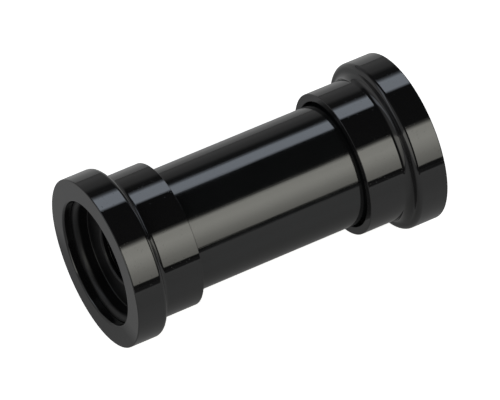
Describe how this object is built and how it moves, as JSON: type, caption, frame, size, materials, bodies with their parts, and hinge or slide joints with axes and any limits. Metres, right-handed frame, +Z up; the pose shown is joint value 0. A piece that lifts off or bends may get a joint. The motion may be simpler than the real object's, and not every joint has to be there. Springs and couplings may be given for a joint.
{
  "type": "bottom bracket",
  "caption": "Press-fit bicycle bottom bracket: flanged cups joined by a sliding sleeve, each holding a sealed ball bearing behind a dished dust seal.",
  "frame": {"origin": "on the spindle axis, midway between the two shoulders", "axes": "+X along the spindle axis towards the right-hand (drive side) cup, +Z up"},
  "size_m": [0.1072, 0.0542, 0.0542],
  "materials": {
    "cup_plastic": "gloss moulded black",
    "liner_plastic": "smooth moulded black",
    "sleeve_plastic": "gloss extruded black",
    "seal_rubber": "smooth moulded black",
    "bearing_steel": "ground",
    "ball_steel": "polished",
    "bearing_rubber": "matte moulded black",
    "cage_nylon": "natural nylon",
    "o_ring_rubber": "smooth black"
  },
  "bodies": {
    "left_side": {"left_cup": "cup_plastic", "left_dust_seal": "seal_rubber", "left_bearing_outer_ring": "bearing_steel", "left_bearing_outboard_seal": "bearing_rubber", "left_bearing_inboard_seal": "bearing_rubber"},
    "sleeve": {"center_sleeve": "sleeve_plastic", "left_sleeve_o_ring": "o_ring_rubber", "right_sleeve_o_ring": "o_ring_rubber"},
    "right_side": {"right_cup": "cup_plastic", "right_dust_seal": "seal_rubber", "right_bearing_outer_ring": "bearing_steel", "right_bearing_outboard_seal": "bearing_rubber", "right_bearing_inboard_seal": "bearing_rubber"},
    "left_inner_ring": {"left_bearing_inner_ring": "bearing_steel", "left_spindle_liner": "liner_plastic"},
    "left_cage": {"left_bearing_cage": "cage_nylon", "left_ball_01": "ball_steel", "left_ball_02": "ball_steel", "left_ball_03": "ball_steel", "left_ball_04": "ball_steel", "left_ball_05": "ball_steel", "left_ball_06": "ball_steel", "left_ball_07": "ball_steel", "left_ball_08": "ball_steel", "left_ball_09": "ball_steel", "left_ball_10": "ball_steel", "left_ball_11": "ball_steel"},
    "right_inner_ring": {"right_bearing_inner_ring": "bearing_steel", "right_spindle_liner": "liner_plastic"},
    "right_cage": {"right_bearing_cage": "cage_nylon", "right_ball_01": "ball_steel", "right_ball_02": "ball_steel", "right_ball_03": "ball_steel", "right_ball_04": "ball_steel", "right_ball_05": "ball_steel", "right_ball_06": "ball_steel", "right_ball_07": "ball_steel", "right_ball_08": "ball_steel", "right_ball_09": "ball_steel", "right_ball_10": "ball_steel", "right_ball_11": "ball_steel"}
  },
  "joints": [
    {"name": "sleeve_slide", "type": "slide", "parent": "left_side", "child": "sleeve", "axis": [1, 0, 0], "range_m": [0, 0.005]},
    {"name": "right_cup_slide", "type": "slide", "parent": "sleeve", "child": "right_side", "axis": [1, 0, 0], "range_m": [0, 0.005]},
    {"name": "left_spindle_spin", "type": "hinge", "parent": "left_side", "child": "left_inner_ring", "pos_m": [-0.04015, 0, 0], "axis": [1, 0, 0], "continuous": true},
    {"name": "left_cage_spin", "type": "hinge", "parent": "left_side", "child": "left_cage", "pos_m": [-0.04015, 0, 0], "axis": [1, 0, 0], "continuous": true},
    {"name": "right_spindle_spin", "type": "hinge", "parent": "right_side", "child": "right_inner_ring", "pos_m": [0.04015, 0, 0], "axis": [1, 0, 0], "continuous": true},
    {"name": "right_cage_spin", "type": "hinge", "parent": "right_side", "child": "right_cage", "pos_m": [0.04015, 0, 0], "axis": [1, 0, 0], "continuous": true}
  ],
  "couplings": [
    {"joint": "left_cage_spin", "follows": "left_spindle_spin", "ratio": 0.41228},
    {"joint": "right_cage_spin", "follows": "right_spindle_spin", "ratio": 0.41228}
  ]
}
